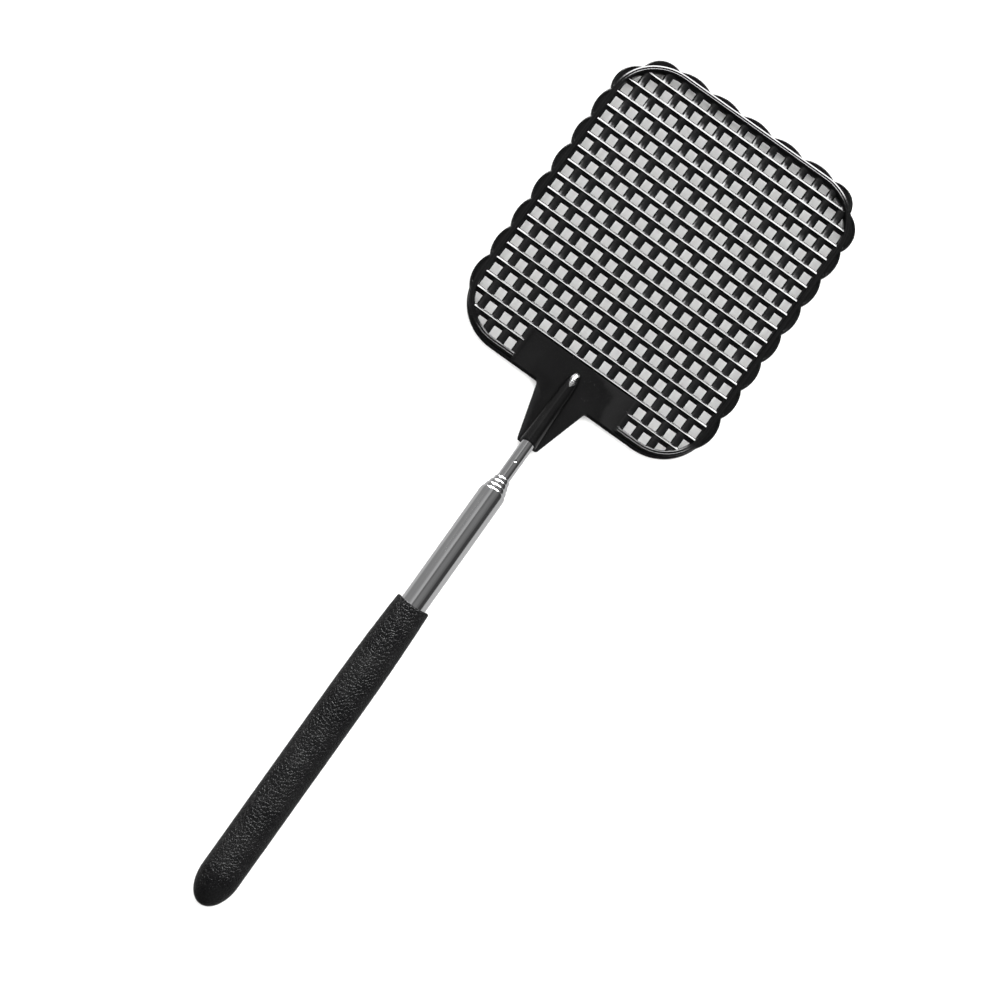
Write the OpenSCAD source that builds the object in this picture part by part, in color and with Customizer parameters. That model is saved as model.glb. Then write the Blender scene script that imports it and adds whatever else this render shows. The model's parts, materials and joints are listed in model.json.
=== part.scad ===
// Telescopic fly swatter: a moulded lattice head on a five-section pull-out rod with a soft grip.
// +Y runs from the grip's closed end to the head's tip, +X across the head, +Z up from the surface
// that the swatter lies on. A station is a distance along the rod from the grip's closed end.

/* [Grip] */
// Length of the grip
grip_l = 109.5; // [100:0.5:120]
// Diameter of the grip's straight barrel
grip_d = 12.4; // [11.8:0.1:15]
// Diameter of the grip at its mouth
grip_mouth_d = 10.8; // [10:0.1:11.4]
// Length over which the grip narrows towards its mouth
grip_taper_l = 35; // [20:1:50]
// Length of the rounded closed end
grip_dome_l = 10.2; // [6:0.1:12]

/* [Telescopic rod] */
// Outer diameter of the thickest tube
tube_d = 8; // [7.8:0.05:8.2]
// Difference in outer diameter between one tube and the next
tube_step = 1; // [0.96:0.01:1.04]
// Wall of the four tubes
tube_wall = 0.3; // [0.27:0.01:0.31]
// Wall of the inner rod
rod_wall = 0.4; // [0.35:0.05:0.5]
// Length of the outer tube that stands out of the grip
tube_bare_l = 41.5; // [36:0.5:50]
// How far each tube's mouth stands out of the one before, pushed in
mouth_step = 1.6; // [1.4:0.1:2]
// Length of the inner rod in view, pushed in
rod_bare_l = 13.2; // [10:0.2:16]
// Travel of each stage
stage_travel = 110; // [90:1:110]

/* [Head] */
// Columns of cells across the head
columns = 15; // [13:2:17]
// Rows of full cells along the head
rows = 18; // [16:2:20]
// Width of the lattice
lattice_w = 78.5; // [72:0.5:84]
// Distance from one cross rib to the next
row_pitch = 5.2; // [4.8:0.1:5.6]
// Height of the shorter row at the tip
top_row_h = 5; // [4.6:0.1:5.2]
// Width of a cross rib at its foot
cross_rib_w = 1.85; // [1.6:0.05:2]
// Width of a long rib at its foot
long_rib_w = 2.6; // [2.4:0.05:2.8]
// Height of a rib
rib_h = 2.06; // [1.8:0.02:2.2]
// Height of the rim around the lattice
rim_h = 2.5; // [2.4:0.05:3]
// Width of the rim's top
rim_w = 1.4; // [1.2:0.1:1.6]
// Thickness of the scalloped flange
flange_t = 1.3; // [1:0.05:1.4]
// Thickness of the web and the neck
web_t = 1.5; // [1.45:0.05:1.8]
// Length of the neck, from the socket's mouth to the head's lower edge
neck_l = 17.7; // [15:0.1:22]
// Width of the neck where it meets the head
neck_top_w = 16.5; // [14:0.5:22]
// Width of the neck at the socket's mouth
neck_mouth_w = 7.2; // [6.5:0.1:9]
// Width of the raised socket at its mouth
socket_w = 5.4; // [5.2:0.1:6]
// Width of the raised socket where its rounded nose begins
socket_nose_w = 4.7; // [4.6:0.1:5.2]

/* [Hidden] */
$fn = 96;

// Rod, by stations from the grip's closed end
sections = 5;
same_body_gap = 0.02;
lip_gap = 0.04;
lip_edge_t = 0.1;
lip_l = 0.9;
lip_cone_l = 0.6;
shoulder_l = 1.3;
shoulder_drop = tube_step / 2 - lip_gap - lip_edge_t;
plug_l = 11;
plug_flange_l = 1.4;
tail_gap = 0.5;
bead_h = 0.15;
bead_w = 0.8;
bead_flat = 0.4;
sleeve_side_gap = 0.02;
sleeve_end_gap = 0.3;
sleeve_slit = 0.5;
mouth_1 = grip_l + tube_bare_l;
tail_1 = 15;
plug_end = tail_1 + plug_l;
tail_n = plug_end + tail_gap;
bead_front_gap = 0.2;
socket_mouth = mouth_1 + (sections - 2) * mouth_step + rod_bare_l;
rod_in_socket = 15;
rod_end = socket_mouth + rod_in_socket;
stud_in_rod = 30;
dimple_at = socket_mouth - 6.7;

// Head, by stations
head_bottom = socket_mouth + neck_l;
lip_w = 1.8;
lattice_bottom = head_bottom + lip_w;
lattice_top = lattice_bottom + rows * row_pitch + top_row_h;
side_flange = 2.65;
top_flange = 2.9;
head_tip = lattice_top + top_flange;
head_half_w = lattice_w / 2 + side_flange;
col_pitch = lattice_w / columns;
web_cols = 7;
web_w = web_cols * col_pitch;
web_top = lattice_bottom + 2 * row_pitch;
rim_inset = 0.4;
valley_inset = 1.4;
core_x = head_half_w - valley_inset - 0.1;
core_r_bottom = 15.5;
core_r_top = 15.7;
lattice_r_bottom = 13.7;
lattice_r_top = 14.5;
scallop_r = 10.4;
corner_scallop_r_low = 8;
corner_scallop_r_high = 6.7;
top_pitch = 10.8;
valley_drop = scallop_r - sqrt(pow(scallop_r, 2) - pow(top_pitch / 2, 2));
rib_side_h = 0.42;
rib_crest_w = 0.25;
rib_area_inset = 0.35;
long_rib_drop = 0.1;
back_below_axis = 2.6;

// Frame
total_l = head_tip;
axis_z = grip_d / 2;
back_z = axis_z - back_below_axis;

function tube_r(k) = tube_d / 2 - (k - 1) * tube_step / 2;
function mouth_at(k) = mouth_1 + (k - 1) * mouth_step;
// Station of the bead in front of section k's sleeves: it meets the lip at the end of the travel.
function front_bead_at(k) = mouth_at(k - 1) - lip_l - lip_cone_l - stage_travel - bead_front_gap;
function rear_bead_at(k) = tail_n + bead_w + (k - 2) * mouth_step;

// A profile's rounded end: a quarter ellipse from [r, z - l] to [r - drop, z].
function shoulder(r, z, drop, l, n = 6) =
    [for (i = [0:n]) [r - drop * (1 - cos(90 * i / n)), z - l * (1 - sin(90 * i / n))]];

function bead(r, at) = [
    [r, at - bead_w / 2], [r + bead_h, at - bead_flat / 2],
    [r + bead_h, at + bead_flat / 2], [r, at + bead_w / 2]
];

// Turned and drawn shapes: their own z runs along the rod, from the grip's closed end.
module along_rod() {
    translate([0, -total_l / 2, axis_z])
        rotate([-90, 0, 0])
            children();
}

module turned(profile) {
    along_rod()
        rotate_extrude()
            polygon(profile);
}

// A tube with a lip rolled in at its mouth, and two beads behind it that hold its sleeves.
module tube_section(k, tail, beads) {
    r = tube_r(k);
    bore_r = r - tube_wall;
    lip_r = tube_r(k + 1) + lip_gap;
    m = mouth_at(k);
    turned(concat(
        [[r, tail]],
        beads ? bead(r, rear_bead_at(k)) : [],
        beads ? bead(r, front_bead_at(k)) : [],
        shoulder(r, m, shoulder_drop, shoulder_l),
        [[lip_r, m], [lip_r, m - lip_l], [bore_r, m - lip_l - lip_cone_l], [bore_r, tail]]
    ));
}

// One half of the split sleeve that grips between section k and the tube around it.
module friction_sleeve(k, side) {
    r_in = tube_r(k) + sleeve_side_gap;
    r_out = tube_r(k - 1) - tube_wall - sleeve_side_gap;
    z_low = rear_bead_at(k) + bead_w / 2 + sleeve_end_gap;
    z_high = front_bead_at(k) - bead_w / 2 - sleeve_end_gap;
    color("#b08d57")
        along_rod()
            intersection() {
                rotate_extrude()
                    polygon([[r_in, z_low], [r_out, z_low], [r_out, z_high], [r_in, z_high]]);
                translate([side > 0 ? sleeve_slit / 2 : -tube_d, -tube_d, z_low - 1])
                    cube([tube_d - sleeve_slit / 2, 2 * tube_d, z_high - z_low + 2]);
            }
}

module outer_tube() {
    color("#c4c4c6")
        tube_section(1, tail_1, false);
}

module tube_section_2() {
    color("#c4c4c6")
        tube_section(2, tail_n, true);
}

module tube_section_3() {
    color("#c4c4c6")
        tube_section(3, tail_n, true);
}

module tube_section_4() {
    color("#c4c4c6")
        tube_section(4, tail_n, true);
}

// The thinnest section: a small punched dimple, which bulges into the bore and locks the stud.
module inner_rod() {
    r = tube_r(sections);
    bore_r = r - rod_wall;
    punch_off = r + 0.35;
    dent_r = 0.6;
    bulge_r = dent_r + 0.35;
    color("#c4c4c6")
        difference() {
            union() {
                turned(concat(
                    [[r, tail_n]],
                    bead(r, rear_bead_at(sections)),
                    bead(r, front_bead_at(sections)),
                    [[r, rod_end], [bore_r, rod_end], [bore_r, tail_n]]
                ));
                along_rod()
                    intersection() {
                        translate([0, -punch_off, dimple_at])
                            sphere(r = bulge_r);
                        translate([0, 0, dimple_at - 2 * dent_r])
                            cylinder(r = bore_r + rod_wall / 4, h = 4 * dent_r);
                    }
            }
            along_rod()
                translate([0, -punch_off, dimple_at])
                    sphere(r = dent_r);
        }
}

// The steel stud in the rod's end, with a neck under the dimple and a rounded nose in the socket.
module head_stud() {
    r = tube_r(sections) - rod_wall - same_body_gap;
    neck_r = r - 0.3;
    nose_l = 4.2;
    nose_end = head_bottom + 7.9;
    color("#d6d6d8")
        turned(concat(
            [[0, rod_end - stud_in_rod], [r, rod_end - stud_in_rod], [r, dimple_at - 1.2],
             [neck_r, dimple_at - 0.9], [neck_r, dimple_at + 0.9], [r, dimple_at + 1.2]],
            shoulder(r, nose_end, r, nose_l, 10)
        ));
}

// The plastic stopper in the outer tube's tail.
module tube_end_plug() {
    r = tube_r(1) - tube_wall - same_body_gap;
    color("#2b2b2d")
        turned([
            [0, tail_1 - plug_flange_l], [tube_r(1), tail_1 - plug_flange_l], [tube_r(1), tail_1],
            [r, tail_1], [r, plug_end - 0.6], [r - 0.6, plug_end], [0, plug_end]
        ]);
}

module handle_grip() {
    r = grip_d / 2;
    mouth_r = grip_mouth_d / 2;
    edge_r = 0.5;
    dish = 0.4;
    bore_r = tube_r(1) + same_body_gap;
    taper_n = 8;
    color("#1c1c1d")
        turned(concat(
            [[0, tail_1 - plug_flange_l - same_body_gap]],
            [for (i = [0:12]) [r * sin(90 * i / 12), grip_dome_l * (1 - cos(90 * i / 12))]],
            [for (i = [0:taper_n])
                [r - (r - mouth_r) * pow(i / taper_n, 2),
                 grip_l - grip_taper_l + (grip_taper_l - edge_r) * i / taper_n]],
            [[mouth_r - 0.3 * edge_r, grip_l - 0.3 * edge_r], [mouth_r - edge_r, grip_l],
             [bore_r, grip_l - dish], [bore_r, tail_1 - plug_flange_l - same_body_gap]]
        ));
}

// A rounded rectangle across x, between two stations, with its own corner radius at each end.
module rounded_area(x, low, high, r_low, r_high) {
    translate([-(x - r_low), low])
        square([2 * (x - r_low), high - low]);
    translate([-x, low + r_low])
        square([2 * x, high - low - r_low - r_high]);
    translate([-(x - r_high), high - r_high - 1])
        square([2 * (x - r_high), r_high + 1]);
    for (side = [-1, 1]) {
        translate([side * (x - r_low), low + r_low])
            circle(r = r_low);
        translate([side * (x - r_high), high - r_high])
            circle(r = r_high);
    }
}

module lattice_area(grow) {
    rounded_area(lattice_w / 2 + grow, lattice_bottom - grow, lattice_top + grow,
        lattice_r_bottom + grow, lattice_r_top + grow);
}

// A scallop of radius r whose edge runs through points a and b, bulging to the right of the way from a to b.
module scallop(a, b, r) {
    d = b - a;
    half = norm(d) / 2;
    inward = [-d[1], d[0]] / norm(d);
    translate((a + b) / 2 + inward * sqrt(pow(r, 2) - pow(half, 2)))
        circle(r = r);
}

// The head's outline: scallops down both sides and across the tip, and plain lower corners.
// The valleys between the side scallops lie on every second cross rib.
module head_outline() {
    top_valley = head_tip - valley_drop;
    corner_low = [head_half_w - valley_inset, lattice_bottom + (rows - 2) * row_pitch];
    corner_mid = [lattice_w / 2 - 2.85, lattice_top - 4];
    corner_high = [2.5 * top_pitch, top_valley];
    rounded_area(core_x, head_bottom, top_valley - 0.3, core_r_bottom, core_r_top);
    for (side = [-1, 1]) {
        for (k = [3:2:rows - 3])
            translate([side * (head_half_w - scallop_r), lattice_bottom + k * row_pitch])
                circle(r = scallop_r);
        mirror([side < 0 ? 1 : 0, 0]) {
            scallop(corner_low, corner_mid, corner_scallop_r_low);
            scallop(corner_mid, corner_high, corner_scallop_r_high);
        }
    }
    for (i = [-2:2])
        translate([i * top_pitch, head_tip - scallop_r])
            circle(r = scallop_r);
}

// Ribs are roof-shaped towards the front. The cross ribs stand a little taller.
function rib_profile(w, drop) = [
    [-w / 2, 0], [w / 2, 0], [w / 2, rib_side_h],
    [rib_crest_w / 2, rib_h - drop], [-rib_crest_w / 2, rib_h - drop],
    [-w / 2, rib_side_h]
];

module cross_rib(station) {
    translate([-lattice_w / 2 - 1, station, 0])
        rotate([90, 0, 90])
            linear_extrude(lattice_w + 2)
                polygon(rib_profile(cross_rib_w, 0));
}

module long_rib(x) {
    translate([x, lattice_top + 1, 0])
        rotate([90, 0, 0])
            linear_extrude(lattice_top - lattice_bottom + 2)
                polygon(rib_profile(long_rib_w, long_rib_drop));
}

module ribs() {
    intersection() {
        union() {
            for (k = [0:rows])
                cross_rib(lattice_bottom + k * row_pitch);
            cross_rib(lattice_top);
            for (i = [0:columns])
                long_rib((i - columns / 2) * col_pitch);
        }
        linear_extrude(rib_h + 1)
            difference() {
                lattice_area(rib_area_inset);
                translate([-(web_w - long_rib_w) / 2, lattice_bottom - 2])
                    square([web_w - long_rib_w, web_top - cross_rib_w / 2 - lattice_bottom + 2]);
            }
    }
}

module web_and_neck() {
    corner = 0.9;
    linear_extrude(web_t) {
        translate([-web_w / 2, head_bottom + 1])
            square([web_w, web_top - head_bottom - 1]);
        polygon([
            [-neck_top_w / 2, head_bottom + 1.5], [-neck_top_w / 2, head_bottom],
            [-neck_mouth_w / 2, socket_mouth + corner], [-neck_mouth_w / 2 + corner, socket_mouth],
            [neck_mouth_w / 2 - corner, socket_mouth], [neck_mouth_w / 2, socket_mouth + corner],
            [neck_top_w / 2, head_bottom], [neck_top_w / 2, head_bottom + 1.5]
        ]);
    }
}

// The raised half-round socket, a little narrower towards its rounded nose, which ends on the web.
module socket_body() {
    r = socket_w / 2;
    nose_r = socket_nose_w / 2;
    nose_end = head_bottom + 8.7;
    nose_l = 8.4;
    intersection() {
        translate([0, 0, back_below_axis])
            rotate([-90, 0, 0])
                rotate_extrude()
                    polygon(concat([[0, socket_mouth], [r, socket_mouth]],
                        shoulder(nose_r, nose_end, nose_r, nose_l, 10)));
        translate([-r - 1, socket_mouth - 1, 0])
            cube([2 * r + 2, nose_end - socket_mouth + 2, 2 * back_below_axis + 1]);
    }
    linear_extrude(back_below_axis)
        polygon([
            [-r, socket_mouth], [r, socket_mouth], [nose_r, nose_end - nose_l], [-nose_r, nose_end - nose_l]
        ]);
}

// What is cut out for the rod and the stud: two bores, and the window over the stud's nose.
module socket_bore() {
    rod_r = tube_r(sections) + same_body_gap;
    stud_r = tube_r(sections) - rod_wall;
    stud_end = head_bottom + 8;
    window_w = 2.6;
    window_l = 4.2;
    window_r = (pow(window_l, 2) + pow(window_w, 2)) / (4 * window_w);
    window_mid = head_bottom + 5.7;
    translate([0, 0, back_below_axis])
        rotate([-90, 0, 0]) {
            translate([0, 0, socket_mouth - 1])
                cylinder(r = rod_r, h = rod_end + 0.2 - socket_mouth + 1);
            rotate_extrude()
                polygon(concat([[0, rod_end], [stud_r, rod_end]],
                    shoulder(stud_r, stud_end, stud_r, 4.2, 10)));
        }
    translate([0, window_mid, back_below_axis])
        linear_extrude(back_below_axis + 1)
            intersection() {
                translate([-(window_r - window_w / 2), 0])
                    circle(r = window_r);
                translate([window_r - window_w / 2, 0])
                    circle(r = window_r);
            }
}

module swatter_head() {
    color("#1e1e1f")
        translate([0, -total_l / 2, back_z])
            difference() {
                union() {
                    linear_extrude(flange_t)
                        difference() {
                            head_outline();
                            lattice_area(0);
                        }
                    linear_extrude(rim_h)
                        difference() {
                            lattice_area(rim_w - rim_inset);
                            lattice_area(-rim_inset);
                        }
                    ribs();
                    web_and_neck();
                    socket_body();
                }
                socket_bore();
            }
}

module friction_sleeve_1_left() friction_sleeve(2, -1);
module friction_sleeve_1_right() friction_sleeve(2, 1);
module friction_sleeve_2_left() friction_sleeve(3, -1);
module friction_sleeve_2_right() friction_sleeve(3, 1);
module friction_sleeve_3_left() friction_sleeve(4, -1);
module friction_sleeve_3_right() friction_sleeve(4, 1);
module friction_sleeve_4_left() friction_sleeve(5, -1);
module friction_sleeve_4_right() friction_sleeve(5, 1);

swatter_head();
head_stud();
inner_rod();
tube_section_4();
tube_section_3();
tube_section_2();
outer_tube();
tube_end_plug();
handle_grip();
friction_sleeve_1_left();
friction_sleeve_1_right();
friction_sleeve_2_left();
friction_sleeve_2_right();
friction_sleeve_3_left();
friction_sleeve_3_right();
friction_sleeve_4_left();
friction_sleeve_4_right();
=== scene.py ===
"""Looks for the telescopic fly swatter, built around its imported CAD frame.

Everything is in metres in the CAD's frame: +Y from the grip's closed end to the head's tip, +X across
the head, +Z up. A station is a distance in millimetres along the rod from the grip's closed end.
"""
import json
import math

import bmesh
import bpy
from mathutils import Matrix, Vector, noise


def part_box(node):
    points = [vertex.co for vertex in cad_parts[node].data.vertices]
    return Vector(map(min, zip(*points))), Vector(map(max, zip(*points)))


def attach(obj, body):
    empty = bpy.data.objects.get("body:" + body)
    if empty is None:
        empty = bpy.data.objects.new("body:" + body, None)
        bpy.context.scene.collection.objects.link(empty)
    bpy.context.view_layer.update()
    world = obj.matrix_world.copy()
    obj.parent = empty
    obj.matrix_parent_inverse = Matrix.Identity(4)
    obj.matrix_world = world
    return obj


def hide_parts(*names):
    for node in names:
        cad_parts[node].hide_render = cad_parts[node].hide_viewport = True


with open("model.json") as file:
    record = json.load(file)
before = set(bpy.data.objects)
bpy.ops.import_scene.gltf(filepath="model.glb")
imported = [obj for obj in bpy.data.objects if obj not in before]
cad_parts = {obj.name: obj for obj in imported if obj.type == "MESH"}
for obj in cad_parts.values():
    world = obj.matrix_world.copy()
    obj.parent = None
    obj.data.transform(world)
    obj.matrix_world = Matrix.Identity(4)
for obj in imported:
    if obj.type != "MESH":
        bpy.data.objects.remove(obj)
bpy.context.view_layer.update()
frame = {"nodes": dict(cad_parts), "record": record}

MM = 0.001

# Places from the frame
GRIP_LOW, GRIP_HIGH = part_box("handle_grip")
HEAD_LOW, HEAD_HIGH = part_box("swatter_head")
TUBE_LOW, TUBE_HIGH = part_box("outer_tube")
ROD_LOW, ROD_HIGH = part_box("inner_rod")
AXIS_Z = (GRIP_LOW.z + GRIP_HIGH.z) / 2
BACK_Z = HEAD_LOW.z
GRIP_END_Y = GRIP_LOW.y
TOTAL_L = (HEAD_HIGH.y - GRIP_END_Y) / MM
GRIP_L = (GRIP_HIGH.y - GRIP_END_Y) / MM
GRIP_R = (GRIP_HIGH.z - GRIP_LOW.z) / 2 / MM
HALF_W = HEAD_HIGH.x / MM
SOCKET_MOUTH = (HEAD_LOW.y - GRIP_END_Y) / MM
AXIS_H = (AXIS_Z - BACK_Z) / MM


def at(x, station, z):
    """A point of the head in metres: millimetres across, along the rod and up from the head's back."""
    return Vector((x * MM, GRIP_END_Y + station * MM, BACK_Z + z * MM))


# ---------------------------------------------------------------- camera

VIEW_TILT = math.radians(19)
VIEW_LEAN = math.radians(35.5)
VIEW_DISTANCE = 6.0
VIEW_WIDTH = 0.285
VIEW_TARGET = Vector((2.8 * MM, GRIP_END_Y + 150.2 * MM, AXIS_Z))
VIEW_FAR = 50


def make_camera():
    """Looks down on the ribbed face from the grip's side, with the rod leaning to the right."""
    back = Vector((0, -math.sin(VIEW_TILT), math.cos(VIEW_TILT)))
    along = Vector((0, math.cos(VIEW_TILT), math.sin(VIEW_TILT)))
    across = Vector((1, 0, 0))
    right = across * math.cos(VIEW_LEAN) + along * math.sin(VIEW_LEAN)
    up = along * math.cos(VIEW_LEAN) - across * math.sin(VIEW_LEAN)
    data = bpy.data.cameras.new("camera")
    data.lens = data.sensor_width * VIEW_DISTANCE / VIEW_WIDTH
    data.clip_end = VIEW_FAR
    camera = bpy.data.objects.new("camera", data)
    turn = Matrix((right, up, back)).transposed().to_4x4()
    camera.matrix_world = Matrix.Translation(VIEW_TARGET + back * VIEW_DISTANCE) @ turn
    bpy.context.scene.collection.objects.link(camera)
    bpy.context.scene.camera = camera


make_camera()

# ---------------------------------------------------------------- mesh helpers


def new_object(name, verts, faces, smooth_angle=None):
    """A mesh object in the scene, smooth shaded if an angle for its crisp edges is given."""
    mesh = bpy.data.meshes.new(name)
    mesh.from_pydata([tuple(v) for v in verts], [], faces)
    mesh.validate()
    obj = bpy.data.objects.new(name, mesh)
    bpy.context.scene.collection.objects.link(obj)
    if smooth_angle is not None:
        shade(obj, smooth_angle)
    return obj


def shade(obj, angle):
    """Smooth shading, with edges sharper than angle degrees kept crisp."""
    obj.data.shade_smooth()
    obj.data.set_sharp_from_angle(angle=math.radians(angle))


def boolean(target, other, operation):
    """Joins other to target, or cuts it away, and removes other."""
    modifier = target.modifiers.new("boolean", "BOOLEAN")
    modifier.operation = operation
    modifier.solver = "MANIFOLD"
    modifier.object = other
    graph = bpy.context.evaluated_depsgraph_get()
    mesh = bpy.data.meshes.new_from_object(target.evaluated_get(graph))
    target.modifiers.clear()
    target.data = mesh
    bpy.data.objects.remove(other)
    if not mesh.polygons:
        raise RuntimeError(f"boolean {operation} left nothing")
    return target


ON_AXIS = 1e-6


def lathe(name, profile, segments, smooth_angle=35, push=None):
    """Turns a closed profile of (radius, station) points about the rod's axis.

    push(angle, radius, station) may add to the radius of a point, in millimetres.
    """
    verts, faces, ring_of = [], [], []
    for r, station in profile:
        if r < ON_AXIS:
            ring_of.append([len(verts)] * segments)
            verts.append(Vector((0, GRIP_END_Y + station * MM, AXIS_Z)))
            continue
        ring_of.append(range(len(verts), len(verts) + segments))
        for i in range(segments):
            a = 2 * math.pi * i / segments
            radius = (r + (push(a, r, station) if push else 0)) * MM
            verts.append(Vector((radius * math.sin(a), GRIP_END_Y + station * MM,
                                 AXIS_Z + radius * math.cos(a))))
    closed = profile[0][0] > ON_AXIS
    count = len(profile)
    for j in range(count if closed else count - 1):
        low, high = ring_of[j], ring_of[(j + 1) % count]
        for i in range(segments):
            k = (i + 1) % segments
            quad = [low[i], low[k], high[k], high[i]]
            unique = list(dict.fromkeys(quad))
            if len(unique) > 2:
                faces.append(unique)
    obj = new_object(name, verts, faces, smooth_angle)
    make_normals_outward(obj)
    return obj


def make_normals_outward(obj):
    work = bmesh.new()
    work.from_mesh(obj.data)
    bmesh.ops.recalc_face_normals(work, faces=work.faces)
    work.to_mesh(obj.data)
    work.free()


def stacked(rings):
    """A closed solid from rings of the same number of points, bottom ring first."""
    n = len(rings[0])
    verts = [p for ring in rings for p in ring]
    faces = []
    for j in range(len(rings) - 1):
        for i in range(n):
            k = (i + 1) % n
            faces.append([j * n + i, j * n + k, (j + 1) * n + k, (j + 1) * n + i])
    faces.append(list(range(n))[::-1])
    faces.append([(len(rings) - 1) * n + i for i in range(n)])
    return verts, faces


def tube_solid(rings):
    """A closed ring-shaped solid: the last ring joins the first."""
    n = len(rings[0])
    verts = [p for ring in rings for p in ring]
    faces = []
    for j in range(len(rings)):
        following = (j + 1) % len(rings)
        for i in range(n):
            k = (i + 1) % n
            faces.append([j * n + i, j * n + k, following * n + k, following * n + i])
    return verts, faces


def solid(name, built):
    """An object from a function's (points, faces), with its faces turned outward."""
    obj = new_object(name, *built)
    make_normals_outward(obj)
    return obj


def block(name, x0, x1, s0, s1, z0, z1):
    """A plain box of the head, used only to cut or fill."""
    ring = [(x0, s0), (x1, s0), (x1, s1), (x0, s1)]
    return solid(name, stacked([[at(x, s, z) for x, s in ring] for z in (z0, z1)]))


def arc(cx, cy, r, a0, a1, n):
    """n + 1 points of an arc, angles in degrees."""
    return [(cx + r * math.cos(math.radians(a0 + (a1 - a0) * i / n)),
             cy + r * math.sin(math.radians(a0 + (a1 - a0) * i / n))) for i in range(n + 1)]


# ---------------------------------------------------------------- the head's sizes, in millimetres

# How far the head's middle rises above its ends, and how far it leans sideways for each unit of length
ARCH = 1.7
LEAN = 0.006
COLUMNS = 15
ROWS = 18
LATTICE_W = 78.5
COL_PITCH = LATTICE_W / COLUMNS
ROW_PITCH = 5.2
NECK_L = 17.7
HEAD_BOTTOM = SOCKET_MOUTH + NECK_L
LATTICE_BOTTOM = HEAD_BOTTOM + 1.8
LATTICE_TOP = TOTAL_L - 2.9
CROSS_RIB_H = 2.06
LONG_RIB_H = 1.9
# Half width, top of the upright side and roundness of a rib's slope
CROSS_TIP_SIDE = (0.86, 1.5, 1.15)
CROSS_GRIP_SIDE = (0.74, 0.45, 1.2)
LONG_SIDE = (1.3, 1.38, 1.5)
RIM_H = 2.5
RIM_IN = 0.4
RIM_OUT = 1.0
LIP_H = 1.45
GUTTER_H = 1.0
WEB_H = 1.5
WEB_HALF = 3.5 * COL_PITCH
WEB_TOP = LATTICE_BOTTOM + 2 * ROW_PITCH
SCALLOP_R = 10.4
TOP_PITCH = 10.8
CORNER_SCALLOP_LOW_R = 8.0
CORNER_SCALLOP_HIGH_R = 6.7
CORE_R = 15.5
CORE_X = HALF_W - 1.5
LOW_CORNER_R = 13.7
HIGH_CORNER_R = 14.5
NECK_TOP_HALF = 8.25
NECK_MOUTH_HALF = 3.6
NECK_CORNER_R = 0.9
SOCKET_MOUTH_R = 2.7
SOCKET_NOSE_R = 2.3
SOCKET_NOSE_L = 8.0
SOCKET_NOSE_END = HEAD_BOTTOM + 8.5
WINDOW_W = 1.75
WINDOW_L = 4.6
WINDOW_MIDDLE = HEAD_BOTTOM + 5.2
GATE_X = 5.1
GATE_STATION = HEAD_BOTTOM + 5.6
GATE_R = 3.1
# Heights that are surely below and above the head, for cutters
UNDER, OVER = -1, 4


def rib_half(z, height, side):
    """Half the width of a rib at height z: an upright side, then a slope up to the crest."""
    half, side_top, roundness = side
    t = max(0.0, (z - side_top) / (height - side_top))
    return half * max(0.0, 1 - t ** roundness) ** (1 / roundness)


def tip_half(z):
    return rib_half(z, CROSS_RIB_H, CROSS_TIP_SIDE)


def grip_half(z):
    return rib_half(z, CROSS_RIB_H, CROSS_GRIP_SIDE)


def long_half(z):
    return rib_half(z, LONG_RIB_H, LONG_SIDE)


def lattice():
    """The slab of square funnel cells: the ribs' sides meet in mitres."""
    index, verts, faces = {}, [], []

    def vert(x, s, z):
        key = (round(x, 4), round(s, 4), round(z, 4))
        if key not in index:
            index[key] = len(verts)
            verts.append(at(x, s, z))
        return index[key]

    def face(points):
        ids = list(dict.fromkeys(vert(*p) for p in points))
        if len(ids) > 2:
            faces.append(ids)

    xs = [(i - COLUMNS / 2) * COL_PITCH for i in range(COLUMNS + 1)]
    ys = [LATTICE_BOTTOM + k * ROW_PITCH for k in range(ROWS + 1)] + [LATTICE_TOP]
    shoulder = CROSS_TIP_SIDE[1]
    levels = [0, CROSS_GRIP_SIDE[1], 0.8, 1.15, LONG_SIDE[1], shoulder]
    slope_steps = 6
    levels += [shoulder + (LONG_RIB_H - shoulder) * (1 - (1 - j / slope_steps) ** 1.6)
               for j in range(1, slope_steps + 1)]
    caps = [LONG_RIB_H + (CROSS_RIB_H - LONG_RIB_H) * j / 3 for j in range(4)]
    tips = [(tip_half(z), z) for z in caps]
    grips = [(-grip_half(z), z) for z in caps]

    for x0, x1 in zip(xs, xs[1:]):
        for y0, y1 in zip(ys, ys[1:]):
            rings = []
            for z in levels:
                u, low_y, high_y = long_half(z), y0 + tip_half(z), y1 - grip_half(z)
                rings.append([(x0 + u, low_y, z), (x1 - u, low_y, z),
                              (x1 - u, high_y, z), (x0 + u, high_y, z)])
            for low, high in zip(rings, rings[1:]):
                for i in range(4):
                    k = (i + 1) % 4
                    face([low[i], low[k], high[k], high[i]])
            for y, line in ((y0, tips), (y1, grips)):
                for (v0, z0), (v1, z1) in zip(line, line[1:]):
                    face([(x0, y + v0, z0), (x1, y + v0, z0), (x1, y + v1, z1), (x0, y + v1, z1)])
            outer = [(x0, y0, 0), (x1, y0, 0), (x1, y1, 0), (x0, y1, 0)]
            for i in range(4):
                k = (i + 1) % 4
                face([outer[i], outer[k], rings[0][k], rings[0][i]])
    for x in (xs[0], xs[-1]):
        for y0, y1 in zip(ys, ys[1:]):
            face([(x, y0 + v, z) for v, z in tips[::-1]] + [(x, y1 + v, z) for v, z in grips]
                 + [(x, y1, 0), (x, y0, 0)])
    for y in (ys[0], ys[-1]):
        for x0, x1 in zip(xs, xs[1:]):
            face([(x0, y, CROSS_RIB_H), (x1, y, CROSS_RIB_H), (x1, y, 0), (x0, y, 0)])
    return solid("lattice", (verts, faces))


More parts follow.
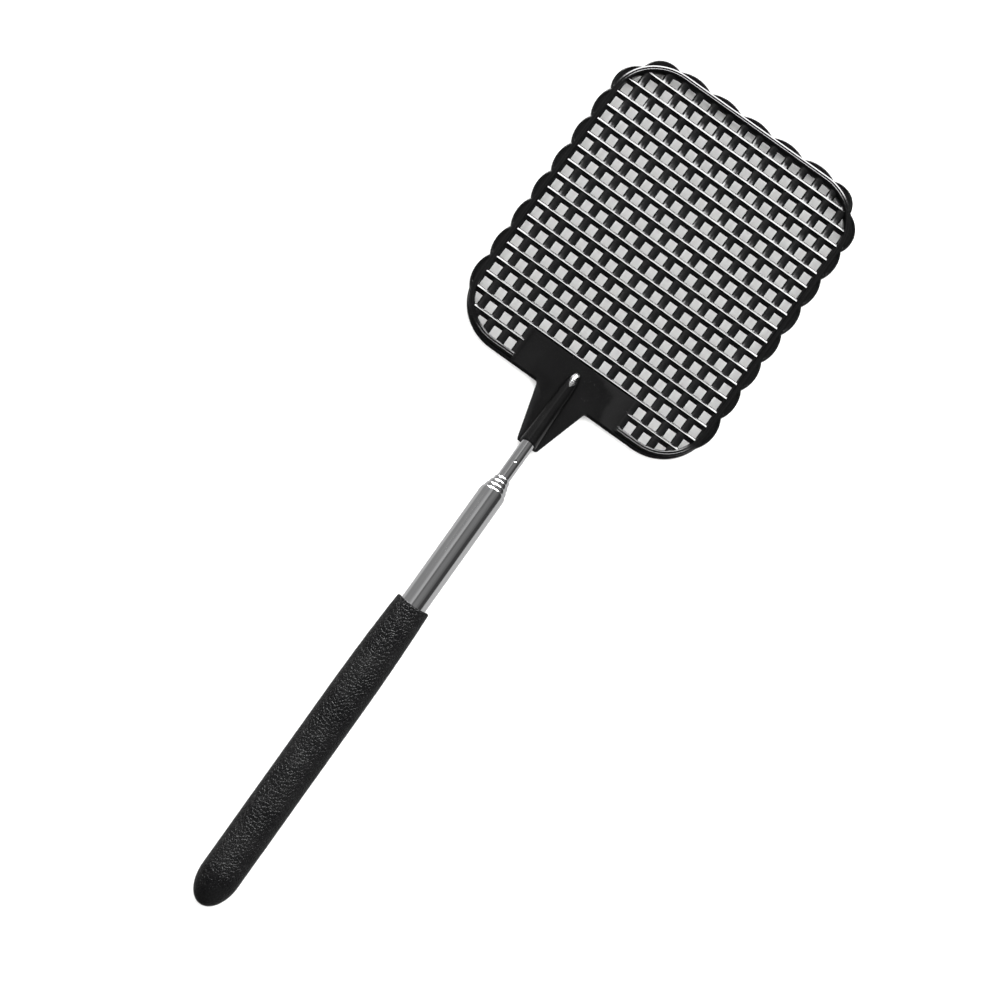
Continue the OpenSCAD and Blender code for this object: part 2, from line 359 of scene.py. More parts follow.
def lattice_outline(grow):
    """The lattice's edge, a rounded rectangle, moved outward by grow."""
    half = LATTICE_W / 2
    low_x, high_x = half - LOW_CORNER_R, half - HIGH_CORNER_R
    low_y, high_y = LATTICE_BOTTOM + LOW_CORNER_R, LATTICE_TOP - HIGH_CORNER_R
    corners = [(low_x, low_y, LOW_CORNER_R, -90), (high_x, high_y, HIGH_CORNER_R, 0),
               (-high_x, high_y, HIGH_CORNER_R, 90), (-low_x, low_y, LOW_CORNER_R, 180)]
    points = []
    for cx, cy, r, start in corners:
        points += arc(cx, cy, r + grow, start, start + 90, 16)
    return points


def circles_cross(a, b, beyond):
    """The crossing of two circles (x, y, r) that lies further from the point beyond."""
    ax, ay, ar = a
    bx, by, br = b
    d = math.hypot(bx - ax, by - ay)
    along = (d * d + ar * ar - br * br) / (2 * d)
    off = math.sqrt(max(0.0, ar * ar - along * along))
    ux, uy = (bx - ax) / d, (by - ay) / d
    options = [(ax + along * ux - side * off * uy, ay + along * uy + side * off * ux) for side in (-1, 1)]
    return max(options, key=lambda p: math.hypot(p[0] - beyond[0], p[1] - beyond[1]))


def circle_through(a, b, r):
    """The centre, on the left of the way from a to b, of the circle of radius r through both."""
    mx, my = (a[0] + b[0]) / 2, (a[1] + b[1]) / 2
    d = math.hypot(b[0] - a[0], b[1] - a[1])
    off = math.sqrt(r * r - d * d / 4)
    return mx - (b[1] - a[1]) / d * off, my + (b[0] - a[0]) / d * off


def scallop_circles():
    """The circles that make the right half of the outline, from the lower corner to the middle scallop."""
    top_valley = TOTAL_L - SCALLOP_R + math.sqrt(SCALLOP_R ** 2 - (TOP_PITCH / 2) ** 2)
    low = (HALF_W - 1.4, LATTICE_BOTTOM + 16 * ROW_PITCH)
    mid = (LATTICE_W / 2 - 2.85, LATTICE_TOP - 4)
    high = (2.5 * TOP_PITCH, top_valley)
    circles = [(CORE_X - CORE_R, HEAD_BOTTOM + CORE_R, CORE_R)]
    circles += [(HALF_W - SCALLOP_R, LATTICE_BOTTOM + k * ROW_PITCH, SCALLOP_R) for k in range(3, 16, 2)]
    circles += [(*circle_through(low, mid, CORNER_SCALLOP_LOW_R), CORNER_SCALLOP_LOW_R)]
    circles += [(*circle_through(mid, high, CORNER_SCALLOP_HIGH_R), CORNER_SCALLOP_HIGH_R)]
    circles += [(i * TOP_PITCH, TOTAL_L - SCALLOP_R, SCALLOP_R) for i in (2, 1, 0)]
    return circles


def head_outline(inset, per_arc=14):
    """The scalloped outline, moved inward by inset; every call has the same number of points."""
    circles = [(x, y, r - inset) for x, y, r in scallop_circles()]
    middle = (0, (HEAD_BOTTOM + TOTAL_L) / 2)
    crossings = [circles_cross(a, b, middle) for a, b in zip(circles, circles[1:])]
    starts = [(circles[0][0], circles[0][1] - circles[0][2])] + crossings
    ends = crossings + [(0, TOTAL_L - inset)]
    right = []
    for (cx, cy, r), start, end in zip(circles, starts, ends):
        a0 = math.degrees(math.atan2(start[1] - cy, start[0] - cx))
        a1 = math.degrees(math.atan2(end[1] - cy, end[0] - cx))
        right += arc(cx, cy, r, a0, a1, per_arc)[:-1]
    return right + [(0, TOTAL_L - inset)] + [(-x, y) for x, y in right[::-1]]


def flange():
    """The plate outside the lattice, with a raised round lip along its scallops."""
    profile = [(0.12, 0.0), (0.0, 0.14), (0.0, 1.05), (0.06, 1.24), (0.2, 1.39), (0.4, LIP_H),
               (0.58, 1.40), (0.72, 1.26), (0.8, GUTTER_H)]
    rings = [[at(x, y, z) for x, y in head_outline(inset)] for inset, z in profile]
    plate = solid("flange", stacked(rings))
    hole = solid("hole", stacked([[at(x, y, z) for x, y in lattice_outline(0.3)] for z in (UNDER, OVER)]))
    return boolean(plate, hole, "DIFFERENCE")


def rim():
    """The raised wall around the lattice, with a half rib on its inner side and two soft top edges."""
    inner_top = RIM_H - 0.14
    levels = [inner_top * math.sin(math.radians(a)) for a in (0, 12, 24, 36, 48, 60, 70)]
    inner = [(-RIM_IN - 0.75 * (1 - (z / RIM_H) ** 2.2), z) for z in levels]
    top = [(-RIM_IN, RIM_H - 0.13), (-RIM_IN + 0.1, RIM_H - 0.03), (-RIM_IN + 0.24, RIM_H),
           (-RIM_IN + 0.42, RIM_H - 0.05), (0.14, RIM_H - 0.18), (0.26, RIM_H - 0.18), (0.4, RIM_H - 0.06),
           (0.5, RIM_H - 0.03), (0.6, RIM_H - 0.06), (RIM_OUT, RIM_H - 0.26),
           (RIM_OUT + 0.06, 0.6), (RIM_OUT + 0.06, 0.0)]
    rings = [[at(x, y, z) for x, y in lattice_outline(out)] for out, z in inner + top]
    return solid("rim", tube_solid(rings))


def web_space():
    """What is cut away for the web: a wide cell whose sides follow the ribs around it."""
    low_z, high_z = 0.7, 5
    steps = 8
    levels = [low_z + (CROSS_RIB_H - low_z) * math.sin(math.radians(90 * j / steps))
              for j in range(steps + 1)]
    end = [(WEB_TOP - grip_half(z), z) for z in levels]
    end += [(WEB_TOP, high_z), (HEAD_BOTTOM - 1, high_z), (HEAD_BOTTOM - 1, low_z)]
    along = solid("along", stacked([[at(x, y, z) for y, z in end] for x in (-WEB_HALF - 1, WEB_HALF + 1)]))
    slope = [(WEB_HALF - long_half(min(z, LONG_RIB_H)), z) for z in levels[:-1]]
    slope += [(WEB_HALF, 2.0), (WEB_HALF, high_z)]
    across = [(-x, z) for x, z in slope] + [(x, z) for x, z in slope[::-1]]
    ends = (HEAD_BOTTOM - 2, WEB_TOP + 1)
    between = solid("between", stacked([[at(x, y, z) for x, z in across] for y in ends]))
    return boolean(along, between, "INTERSECT")


def neck():
    """The tapered plate between the socket's mouth and the head, with softened upper edges."""
    corner_x = NECK_MOUTH_HALF - NECK_CORNER_R
    side = [(corner_x, SOCKET_MOUTH)]
    side += arc(corner_x, SOCKET_MOUTH + NECK_CORNER_R, NECK_CORNER_R, -90, -8, 6)[1:]
    fillet = [(-0.18, -0.7), (-0.02, -0.3), (0.24, -0.06), (0.6, 0.02), (0.6, 1.2)]
    side += [(NECK_TOP_HALF + x, HEAD_BOTTOM + y) for x, y in fillet]
    outline = side + [(-x, y) for x, y in side[::-1]]
    centre = Vector((0, SOCKET_MOUTH + NECK_L / 2))
    rings = []
    for shrink, z in ((0.0, 0.0), (0.0, WEB_H - 0.18), (0.05, WEB_H - 0.06), (0.16, WEB_H)):
        ring = []
        for x, y in outline:
            toward = centre - Vector((x, y))
            ring.append(at(x + shrink * (1 if toward.x > 0 else -1),
                           y + shrink * (1 if y < SOCKET_MOUTH + 2 else 0), z))
        rings.append(ring)
    return solid("neck", stacked(rings))


def socket():
    """The raised half-round socket: straight sides, a round top and a nose that runs out on the web."""
    round_edge = {SOCKET_MOUTH: 0.22, SOCKET_MOUTH + 0.12: 0.07}
    start = SOCKET_MOUTH + 0.35
    nose_start = SOCKET_NOSE_END - SOCKET_NOSE_L
    stations = [*round_edge, start]
    stations += [start + (nose_start - start) * i / 6 for i in range(1, 7)]
    stations += [SOCKET_NOSE_END - SOCKET_NOSE_L * (1 - math.sin(math.radians(90 * i / 16)))
                 for i in range(1, 17)]
    rings = []
    for station in stations:
        t = max(0.0, (station - nose_start) / SOCKET_NOSE_L)
        shape = math.sqrt(max(0.0, 1 - t * t))
        edge = round_edge.get(station, 0)
        along = min(1.0, (station - SOCKET_MOUTH) / (nose_start - SOCKET_MOUTH))
        r = SOCKET_MOUTH_R + (SOCKET_NOSE_R - SOCKET_MOUTH_R) * along
        half = max(0.02, r * shape - edge)
        high = WEB_H - 0.05 + (AXIS_H + r - WEB_H + 0.05) * shape ** 0.85 - edge
        spring = min(AXIS_H, high * 0.8)
        ring = [(-half, 0.0), (half, 0.0)]
        ring += [(half * math.cos(math.radians(a)), spring + (high - spring) * math.sin(math.radians(a)))
                 for a in range(0, 181, 12)]
        rings.append([at(x, station, z) for x, z in ring])
    return solid("socket", stacked(rings))


def socket_bores():
    """The rod's bore, the stud's narrower bore and the pointed window over the stud's nose."""
    rod_r = min((ROD_HIGH.x - ROD_LOW.x) / 2 / MM, 2.02)
    rod_end = (ROD_HIGH.y - GRIP_END_Y) / MM
    stud_low, stud_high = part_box("head_stud")
    stud_r = (stud_high.x - stud_low.x) / 2 / MM + 0.03
    stud_end = (stud_high.y - GRIP_END_Y) / MM + 0.1
    nose = [(stud_r * math.cos(math.radians(a)), stud_end - 4.2 * (1 - math.sin(math.radians(a))))
            for a in range(0, 90, 10)] + [(0, stud_end)]
    bore = lathe("bore", [(0, SOCKET_MOUTH - 1), (rod_r, SOCKET_MOUTH - 1), (rod_r, rod_end + 0.2),
                          (stud_r, rod_end + 0.2)] + nose, 64)
    r = (WINDOW_L ** 2 + WINDOW_W ** 2) / (4 * WINDOW_W)
    half_angle = math.degrees(math.asin(WINDOW_L / 2 / r))
    right = arc(WINDOW_W / 2 - r, WINDOW_MIDDLE, r, -half_angle, half_angle, 14)
    left = arc(r - WINDOW_W / 2, WINDOW_MIDDLE, r, 180 - half_angle, 180 + half_angle, 14)
    ring = right[:-1] + left[:-1]
    cut = []
    for flare, rise in ((-0.06, -0.1), (0.0, 1.4), (0.12, 2.3), (0.3, 3.2)):
        wider, longer = 1 + flare, 1 + flare * 0.6
        cut.append([at(x * wider, WINDOW_MIDDLE + (y - WINDOW_MIDDLE) * longer, AXIS_H + rise)
                    for x, y in ring])
    return bore, solid("window", stacked(cut))


def gate_mark():
    """The faint round mark that the mould's gate leaves beside the socket."""
    rings = []
    for inset, rise in ((0, -0.2), (0, 0.005), (0.12, 0.02), (0.36, 0.02), (0.5, 0.005), (0.5, -0.2)):
        circle = arc(GATE_X, GATE_STATION, GATE_R - inset, 0, 360, 64)[:-1]
        rings.append([at(x, y, WEB_H + rise) for x, y in circle])
    return solid("gate_mark", tube_solid(rings))


def settle(obj):
    """The flexible head never lies true: it arches along its length and leans a little to one side."""
    base, length = HEAD_BOTTOM + 2, TOTAL_L - HEAD_BOTTOM - 2
    for v in obj.data.vertices:
        station = (v.co.y - GRIP_END_Y) / MM
        t = (station - base) / length
        if t > -0.2:
            rise = 4 * ARCH * t * (1 - t) if t > 0 else 4 * ARCH * t * (1 + t / 0.4)
            v.co.z += max(rise, -0.3) * MM
            v.co.x += LEAN * max(0.0, station - base + 8) * MM


def ripple(obj):
    """Moves the moulding's points a few hundredths of a millimetre, as warped plastic is never true."""
    for v in obj.data.vertices:
        p = v.co / (14 * MM)
        v.co.x += 0.06 * MM * noise.noise(p + Vector((3, 0, 0)))
        v.co.y += 0.06 * MM * noise.noise(p + Vector((0, 9, 0)))
        fine = v.co / (2.3 * MM)
        if BACK_Z + 0.3 * MM < v.co.z < BACK_Z + (RIM_H + 0.1) * MM:
            v.co.z += 0.035 * MM * noise.noise(fine)


def make_head():
    head = lattice()
    area = solid("area", stacked([[at(x, y, z) for x, y in lattice_outline(0.25)] for z in (UNDER, OVER)]))
    boolean(head, area, "INTERSECT")
    boolean(head, rim(), "UNION")
    boolean(head, flange(), "UNION")
    boolean(head, web_space(), "DIFFERENCE")
    boolean(head, block("web", -WEB_HALF, WEB_HALF, HEAD_BOTTOM + 0.35, WEB_TOP, 0, WEB_H), "UNION")
    boolean(head, neck(), "UNION")
    boolean(head, socket(), "UNION")
    boolean(head, gate_mark(), "UNION")
    for cutter in socket_bores():
        boolean(head, cutter, "DIFFERENCE")
    ripple(head)
    settle(head)
    head.name = "lattice_head"
    shade(head, 38)
    return head


# ---------------------------------------------------------------- rod and grip

TUBE_STEP = 0.5
TUBE_WALL = 0.3
OUTER_R = (TUBE_HIGH.z - TUBE_LOW.z) / 2 / MM
INNER_ROD_R = 2.0
INNER_ROD_WALL = 0.4
BEAD_H = 0.15
BEAD_HALF_L = 0.4
BEAD_GAP = 0.7
DIMPLE = SOCKET_MOUTH - 7.2
DIMPLE_R = 0.42
DIMPLE_DEPTH = 0.16
GRIP_MOUTH_R = 5.4
GRIP_TAPER = 35.0
GRIP_DOME = 10.2
GRIP_EDGE = 0.55
GRAIN_DEPTH = 0.08
GRAIN_R = 6.2
MOUTH_DIP = 2.1
MOUTH_DIP_L = 7.0

SLEEVE_OF = {
    "tube_section_2": "friction_sleeve_1_left",
    "tube_section_3": "friction_sleeve_2_left",
    "tube_section_4": "friction_sleeve_3_left",
    "inner_rod": "friction_sleeve_4_left",
}


def tail_beads(node, r):
    """The two rolled beads that hold the friction sleeves, from the CAD section's own tail."""
    low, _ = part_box(node)
    sleeve_low, sleeve_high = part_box(SLEEVE_OF[node])
    tail = (low.y - GRIP_END_Y) / MM
    rear = (sleeve_low.y - GRIP_END_Y) / MM - BEAD_GAP
    front = (sleeve_high.y - GRIP_END_Y) / MM + BEAD_GAP
    points = [(r, tail)]
    for middle in (rear, front):
        points += [(r + BEAD_H * math.cos(math.radians(a)) ** 2, middle + BEAD_HALF_L * a / 90)
                   for a in (-90, -60, -35, 0, 35, 60, 90)]
    return points


def make_tube(node, number):
    """A drawn tube whose mouth is rolled in over the next one."""
    r = OUTER_R - (number - 1) * TUBE_STEP
    bore = r - TUBE_WALL
    lip = r - TUBE_STEP + 0.04
    low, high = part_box(node)
    tail, mouth = (low.y - GRIP_END_Y) / MM, (high.y - GRIP_END_Y) / MM
    profile = [(r, tail)] if number == 1 else tail_beads(node, r)
    drop, length = 0.36, 1.3
    for a in range(0, 85, 7):
        turn = math.radians(a)
        profile.append((r - drop * (1 - math.cos(turn)), mouth - 0.03 - length * (1 - math.sin(turn))))
    profile += [(r - drop - 0.01, mouth - 0.01), (r - drop - 0.05, mouth), (lip + 0.03, mouth),
                (lip, mouth - 0.04), (lip, mouth - 0.9), (bore, mouth - 1.5), (bore, tail)]
    return lathe(node + "_drawn", profile, 96, 50)


def make_inner_rod():
    """The thinnest section, with the small punched dimple that locks the stud."""
    r, bore = INNER_ROD_R, INNER_ROD_R - INNER_ROD_WALL
    tail, end = (ROD_LOW.y - GRIP_END_Y) / MM, (ROD_HIGH.y - GRIP_END_Y) / MM
    profile = tail_beads("inner_rod", r)
    profile += [(r, DIMPLE - 1.2 + 0.075 * i) for i in range(33)]
    profile += [(r, end), (bore, end), (bore, tail)]

    def push(angle, radius, station):
        if radius < r or abs(station - DIMPLE) > 1.1:
            return 0
        angle = (angle + math.pi) % (2 * math.pi) - math.pi
        away = math.hypot(angle * r, station - DIMPLE)
        hollow = DIMPLE_DEPTH * max(0.0, 1 - (away / DIMPLE_R) ** 2)
        raised_edge = 0.012 * math.exp(-((away - 0.54) / 0.14) ** 2)
        return raised_edge - hollow

    return lathe("inner_rod_drawn", profile, 168, 50, push)


def make_grip():
    """The closed-cell foam grip: a domed end, a straight barrel, a narrower mouth and a fine grain."""
    bore_r = OUTER_R + 0.02
    floor = (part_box("tube_end_plug")[0].y - GRIP_END_Y) / MM - 0.02

    def outer_r(station):
        if station < GRIP_DOME:
            return GRIP_R * math.sqrt(max(0.0, 1 - (1 - station / GRIP_DOME) ** 2))
        t = max(0.0, (station - GRIP_L + GRIP_TAPER) / GRIP_TAPER)
        return GRIP_R - (GRIP_R - GRIP_MOUTH_R) * t * t

    dome_rows, barrel_rows = 40, 480
    stations = [GRIP_DOME * (1 - math.cos(math.radians(90 * i / dome_rows))) for i in range(1, dome_rows)]
    barrel_l = GRIP_L - GRIP_EDGE - GRIP_DOME
    stations += [GRIP_DOME + barrel_l * i / barrel_rows for i in range(barrel_rows + 1)]
    profile = [(0, 0)] + [(outer_r(s) - GRAIN_DEPTH, s) for s in stations]
    at_edge = outer_r(GRIP_L - GRIP_EDGE) - GRAIN_DEPTH
    for a in range(15, 91, 15):
        turn = math.radians(a)
        profile.append((at_edge - GRIP_EDGE * (1 - math.cos(turn)),
                        GRIP_L - GRIP_EDGE * (1 - math.sin(turn))))
    profile += [(bore_r + 0.25, GRIP_L - 0.22), (bore_r, GRIP_L - 0.4), (bore_r, floor), (0, floor)]

    def push(angle, radius, station):
        if radius <= bore_r + 0.3 and station > GRIP_DOME:
            return 0
        return grain(angle, station) * min(1.0, radius / 2)

    made = lathe("foam_grip", profile, 224, 60, push)
    for v in made.data.vertices:
        from_mouth = GRIP_L - (v.co.y - GRIP_END_Y) / MM
        reach = max(0.0, 1 - from_mouth / MOUTH_DIP_L) ** 2
        radius = math.hypot(v.co.x, v.co.z - AXIS_Z)
        if reach > 0 and radius > bore_r * MM * 0.9:
            front = max(0.0, (v.co.z - AXIS_Z) / radius)
            v.co.y -= MOUTH_DIP * MM * reach * front ** 1.5
    return made


def grain(angle, station):
    """Leather-like relief in millimetres: small pebbles on a soft unevenness."""
    p = Vector((GRAIN_R * math.sin(angle), station, GRAIN_R * math.cos(angle)))
    near, _ = noise.voronoi(p / 0.8)
    pebble = min(1.0, near[1] - near[0])
    return GRAIN_DEPTH * (0.62 * pebble ** 0.6 + 0.38 * noise.noise(p / 2.8))


# ---------------------------------------------------------------- materials


def new_material(name):
    """A node material, its tree and its Principled shader."""
    material = bpy.data.materials.new(name)
    material.use_nodes = True
    tree = material.node_tree
    return material, tree, tree.nodes["Principled BSDF"]


def node(tree, kind, **inputs):
    """A new shader node, with the named inputs set."""
    made = tree.nodes.new(kind)
    for key, value in inputs.items():
        made.inputs[key.replace("_", " ")].default_value = value
    return made


def object_points(tree, scale=(1, 1, 1)):
    """Object coordinates, scaled per axis."""
    coordinates = tree.nodes.new("ShaderNodeTexCoord")
    mapping = tree.nodes.new("ShaderNodeMapping")
    mapping.inputs["Scale"].default_value = scale
    tree.links.new(coordinates.outputs["Object"], mapping.inputs["Vector"])
    return mapping.outputs["Vector"]


def noise_at(tree, points, scale, detail=3.0, roughness=0.5):
    made = node(tree, "ShaderNodeTexNoise", Scale=scale, Detail=detail, Roughness=roughness)
    tree.links.new(points, made.inputs["Vector"])
    return made.outputs["Fac"]


def ramp(tree, value, stops, interpolation="LINEAR"):
    """Maps a value through (position, grey or colour) stops."""
    made = tree.nodes.new("ShaderNodeValToRGB")
    made.color_ramp.interpolation = interpolation
    elements = made.color_ramp.elements
    while len(elements) < len(stops):
        elements.new(0.5)
    for element, (position, colour) in zip(elements, stops):
        element.position = position
        colour = colour if isinstance(colour, tuple) else (colour, colour, colour)
        element.color = (*colour, 1)
    tree.links.new(value, made.inputs["Fac"])
    return made.outputs["Color"]


def bump(tree, height, strength, distance, normal=None):
    made = node(tree, "ShaderNodeBump", Strength=strength, Distance=distance)
    tree.links.new(height, made.inputs["Height"])
    if normal is not None:
        tree.links.new(normal, made.inputs["Normal"])
    return made.outputs["Normal"]


def soft_edges(tree, radius):
    made = node(tree, "ShaderNodeBevel", Radius=radius)
    made.samples = 4
    return made.outputs["Normal"]


def head_plastic():
    """Flexible black plastic with the satin skin of a moulding, a little uneven and lightly scuffed."""
    material, tree, shader = new_material("head_plastic")
    shader.inputs["IOR"].default_value = 1.45
    points = object_points(tree)
    tone = noise_at(tree, points, 60, 4)
    tree.links.new(ramp(tree, tone, [(0.3, (0.0014, 0.0014, 0.0015)), (0.7, (0.003, 0.003, 0.0031))]),
                   shader.inputs["Base Color"])
    patch = noise_at(tree, points, 420, 5, 0.6)
    tree.links.new(ramp(tree, patch, [(0.32, 0.1), (0.68, 0.19)]), shader.inputs["Roughness"])
    normal = soft_edges(tree, 0.00014)
    normal = bump(tree, noise_at(tree, points, 900, 3), 0.12, 0.00006, normal)
    normal = bump(tree, noise_at(tree, points, 150, 3), 0.5, 0.0003, normal)
    tree.links.new(normal, shader.inputs["Normal"])
    return material


def drawn_steel():
    """Polished stainless tube with soft lengthwise drawing marks and faint handling haze."""
    material, tree, shader = new_material("polished_tube")
    shader.inputs["Metallic"].default_value = 1.0
    around = object_points(tree, (1, 0.012, 1))
    marks = noise_at(tree, around, 1500, 4, 0.6)
    haze = noise_at(tree, object_points(tree, (1, 0.3, 1)), 240, 3)
    tree.links.new(ramp(tree, marks, [(0.3, (0.57, 0.57, 0.575)), (0.7, (0.66, 0.66, 0.665))]),
                   shader.inputs["Base Color"])
    tree.links.new(ramp(tree, haze, [(0.35, 0.1), (0.7, 0.18)]), shader.inputs["Roughness"])
    tree.links.new(bump(tree, marks, 0.16, 0.00002), shader.inputs["Normal"])
    return material


def stud_steel():
    """Bright turned steel with fine rings."""
    material, tree, shader = new_material("stud_steel")
    shader.inputs["Metallic"].default_value = 1.0
    rings = noise_at(tree, object_points(tree, (0.1, 1, 0.1)), 2600, 2)
    tree.links.new(ramp(tree, rings, [(0.3, 0.78), (0.7, 0.9)]), shader.inputs["Base Color"])
    tree.links.new(ramp(tree, rings, [(0.3, 0.16), (0.7, 0.3)]), shader.inputs["Roughness"])
    return material


def bronze_shim():
    """Phosphor bronze, rolled bright, with an oily variation."""
    material, tree, shader = new_material("bronze_shim")
    shader.inputs["Metallic"].default_value = 1.0
    film = noise_at(tree, object_points(tree), 500, 4)
    tree.links.new(ramp(tree, film, [(0.3, (0.52, 0.34, 0.15)), (0.7, (0.7, 0.47, 0.24))]),
                   shader.inputs["Base Color"])
    tree.links.new(ramp(tree, film, [(0.3, 0.22), (0.7, 0.42)]), shader.inputs["Roughness"])
    return material


def plug_plastic():
    """Matte black moulded plastic."""
    material, tree, shader = new_material("plug_plastic")
    points = object_points(tree)
    skin = noise_at(tree, points, 700, 4)
    tree.links.new(ramp(tree, skin, [(0.3, 0.018), (0.7, 0.03)]), shader.inputs["Base Color"])
    tree.links.new(ramp(tree, skin, [(0.3, 0.45), (0.7, 0.62)]), shader.inputs["Roughness"])
    tree.links.new(bump(tree, skin, 0.2, 0.00005), shader.inputs["Normal"])
    return material


def grip_foam():
    """Matte closed-cell foam with a skin of fine leather-like pebbles and creases."""
    material, tree, shader = new_material("grip_foam")
    shader.inputs["IOR"].default_value = 1.16
    points = object_points(tree)
    pebble = node(tree, "ShaderNodeTexVoronoi", Scale=1500, Randomness=1.0)
    pebble.feature = "DISTANCE_TO_EDGE"
    stretched = object_points(tree, (1, 0.6, 1))
    tree.links.new(stretched, pebble.inputs["Vector"])
    crease = ramp(tree, pebble.outputs["Distance"], [(0.0, 0.0), (0.28, 1.0)], "EASE")
    fine = noise_at(tree, points, 5200, 3, 0.6)
    tone = noise_at(tree, points, 110, 4, 0.6)
    tree.links.new(ramp(tree, tone, [(0.3, (0.0025, 0.0025, 0.0027)), (0.7, (0.006, 0.006, 0.006))]),
                   shader.inputs["Base Color"])
    tree.links.new(ramp(tree, tone, [(0.3, 0.3), (0.7, 0.4)]), shader.inputs["Roughness"])
    normal = bump(tree, crease, 1.0, 0.00016)
    normal = bump(tree, fine, 0.6, 0.00008, normal)
    tree.links.new(normal, shader.inputs["Normal"])
    return material


def backdrop_white():
    """The pale studio floor, with the faintest paper tooth."""
    material, tree, shader = new_material("backdrop_white")
    shader.inputs["Specular IOR Level"].default_value = 0.0
    shader.inputs["Roughness"].default_value = 1.0
    tooth = noise_at(tree, object_points(tree), 900, 2)
    tree.links.new(ramp(tree, tooth, [(0.3, (0.9, 0.9, 0.89)), (0.7, (0.92, 0.92, 0.91))]),
                   shader.inputs["Base Color"])
    return material


# ---------------------------------------------------------------- putting it together

MATERIALS = {
    "head_plastic": head_plastic(),
    "polished_tube": drawn_steel(),
    "stud_steel": stud_steel(),
    "bronze_shim": bronze_shim(),
    "plug_plastic": plug_plastic(),
    "grip_foam": grip_foam(),
}
SLOT_OF = {part["node"]: part["material_slot"] for part in frame["record"]["subparts"]}
BODY_OF = {name: body for body, names in frame["record"]["behaviour"]["bodies"].items() for name in names}


def dress(obj, slot):
    obj.data.materials.clear()
    obj.data.materials.append(MATERIALS[slot])


def stand_for(piece, node_name):
    """The piece takes the CAD node's place, body and material slot."""
    dress(piece, SLOT_OF[node_name])
    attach(piece, BODY_OF[node_name])
    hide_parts(node_name)


for name, cad_object in frame["nodes"].items():
    dress(cad_object, SLOT_OF[name])

stand_for(make_head(), "swatter_head")
TUBES = ("outer_tube", "tube_section_2", "tube_section_3", "tube_section_4")
for number, name in enumerate(TUBES, start=1):
    stand_for(make_tube(name, number), name)
stand_for(make_inner_rod(), "inner_rod")
grip = make_grip()
stand_for(grip, "handle_grip")

# ---------------------------------------------------------------- floor and light


FLOOR_HALF = 4.0
CEILING_HEIGHT = 2.0
CEILING_WIDTH = 3.2
CEILING_POWER = 195
BOX_LIGHT = 28.0
# Brightness by the angle about the rod, in degrees from straight up towards +X
STRIPS = [(-180, 0.62), (-122, 0.62), (-110, 0.6), (-100, 0.33), (-42, 0.33), (-30, 0.5), (-24, 0.58),
          (-17, 0.58), (-11, 0.2), (-6, 0.18), (6, 0.26), (24, 0.25), (43, 0.17), (54, 0.07), (80, 0.06),
          (90, 0.68), (130, 0.65), (180, 0.62)]
# How much of that is left by how far a direction points towards the tip
ENDS = [(-1.0, 0.06), (-0.45, 0.12), (-0.1, 1.0), (1.0, 1.0)]
# The low softbox beyond the tip: its brightness by bearing from the tip's direction, and by height
BOX_BEARING = [(-180, 0.0), (-52, 0.0), (-40, 1.0), (9, 1.0), (22, 0.0), (180, 0.0)]
BOX_HEIGHT = [(-1.0, 0.0), (-0.1, 0.0), (0.0, BOX_LIGHT), (0.46, BOX_LIGHT), (0.62, 0.0), (1.0, 0.0)]


def make_floor():
    """The pale floor, which no reflection sees."""
    corners = [(-FLOOR_HALF, -FLOOR_HALF, 0), (FLOOR_HALF, -FLOOR_HALF, 0),
               (FLOOR_HALF, FLOOR_HALF, 0), (-FLOOR_HALF, FLOOR_HALF, 0)]
    floor = new_object("floor", corners, [[0, 1, 2, 3]])
    floor.data.materials.append(backdrop_white())
    floor.visible_glossy = False


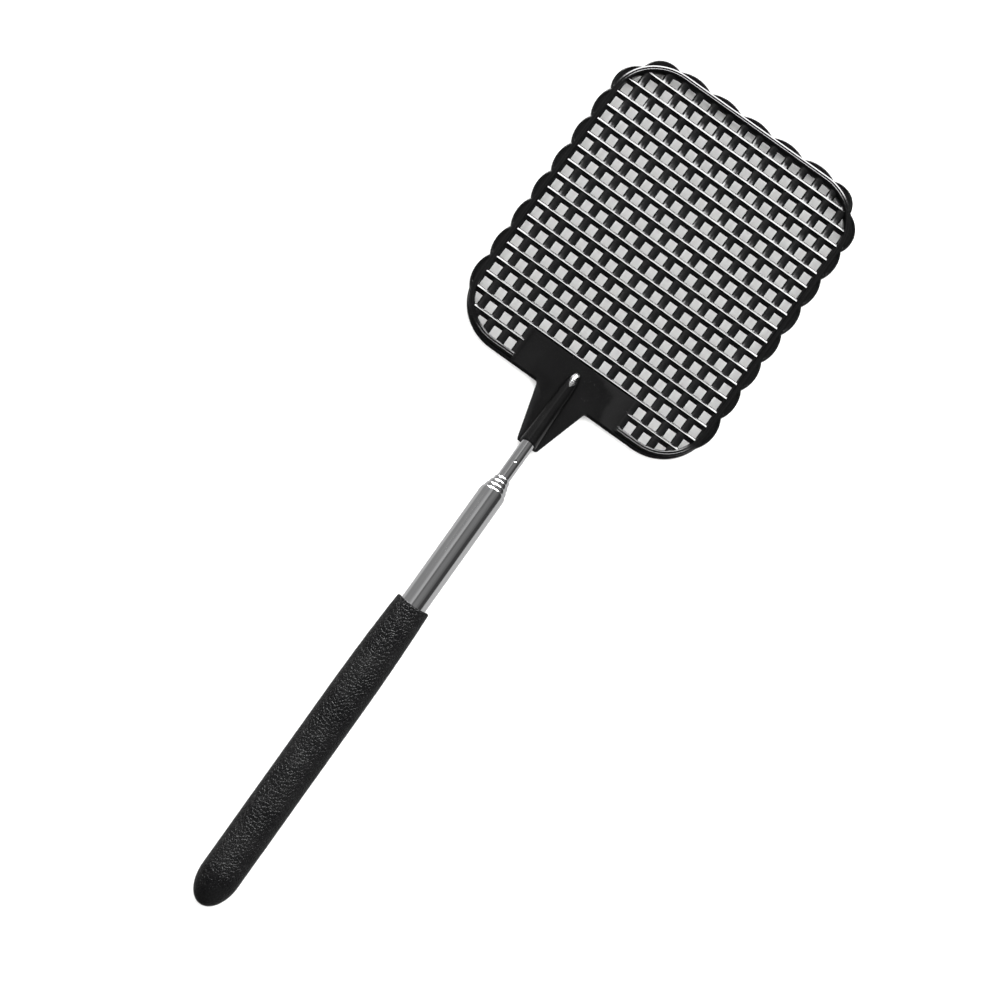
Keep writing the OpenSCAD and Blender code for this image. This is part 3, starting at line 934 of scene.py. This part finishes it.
def make_world():
    """A dark studio with a softbox low beyond the tip, and soft strips overhead that run along the rod."""
    world = bpy.data.worlds.new("studio")
    world.use_nodes = True
    tree = world.node_tree
    background = tree.nodes["Background"]
    coordinates = tree.nodes.new("ShaderNodeTexCoord")
    split = tree.nodes.new("ShaderNodeSeparateXYZ")
    tree.links.new(coordinates.outputs["Generated"], split.inputs["Vector"])
    x, y, z = (split.outputs[axis] for axis in "XYZ")
    strips = mix(tree, "MULTIPLY", by_angle(tree, x, z, STRIPS), by_part(tree, y, ENDS))
    box = mix(tree, "MULTIPLY", by_angle(tree, x, y, BOX_BEARING), by_part(tree, z, BOX_HEIGHT))
    tree.links.new(mix(tree, "ADD", strips, box), background.inputs["Color"])
    world.cycles_visibility.diffuse = False
    bpy.context.scene.world = world


def by_angle(tree, sine, cosine, stops):
    """Brightness by a direction's angle, from stops of (degrees, grey)."""
    angle = tree.nodes.new("ShaderNodeMath")
    angle.operation = "ARCTAN2"
    tree.links.new(sine, angle.inputs[0])
    tree.links.new(cosine, angle.inputs[1])
    turned = map_range(tree, angle.outputs[0], -math.pi, math.pi)
    return ramp(tree, turned, [((degrees + 180) / 360, grey) for degrees, grey in stops], "EASE")


def by_part(tree, value, stops):
    """Brightness by one part of a direction, from stops of (-1 to 1, grey)."""
    moved = map_range(tree, value, -1, 1)
    return ramp(tree, moved, [((part + 1) / 2, grey) for part, grey in stops], "EASE")


def map_range(tree, value, low, high):
    """The value moved from the range low to high to the range 0 to 1."""
    made = tree.nodes.new("ShaderNodeMapRange")
    made.inputs["From Min"].default_value = low
    made.inputs["From Max"].default_value = high
    tree.links.new(value, made.inputs["Value"])
    return made.outputs["Result"]


def mix(tree, blend, a, b):
    made = tree.nodes.new("ShaderNodeMix")
    made.data_type = "RGBA"
    made.blend_type = blend
    made.inputs["Factor"].default_value = 1.0
    tree.links.new(a, made.inputs[6])
    tree.links.new(b, made.inputs[7])
    return made.outputs[2]


def make_ceiling_light():
    """One wide soft light straight above, which no reflection sees."""
    data = bpy.data.lights.new("ceiling", "AREA")
    data.shape = "RECTANGLE"
    data.size = data.size_y = CEILING_WIDTH
    data.energy = CEILING_POWER
    light = bpy.data.objects.new("ceiling", data)
    light.location = (0, 0, CEILING_HEIGHT)
    light.rotation_euler = Vector((0, 0, -CEILING_HEIGHT)).to_track_quat("-Z", "Y").to_euler()
    light.visible_glossy = False
    bpy.context.scene.collection.objects.link(light)


make_floor()
make_world()
make_ceiling_light()
bpy.context.scene.view_settings.view_transform = "Standard"
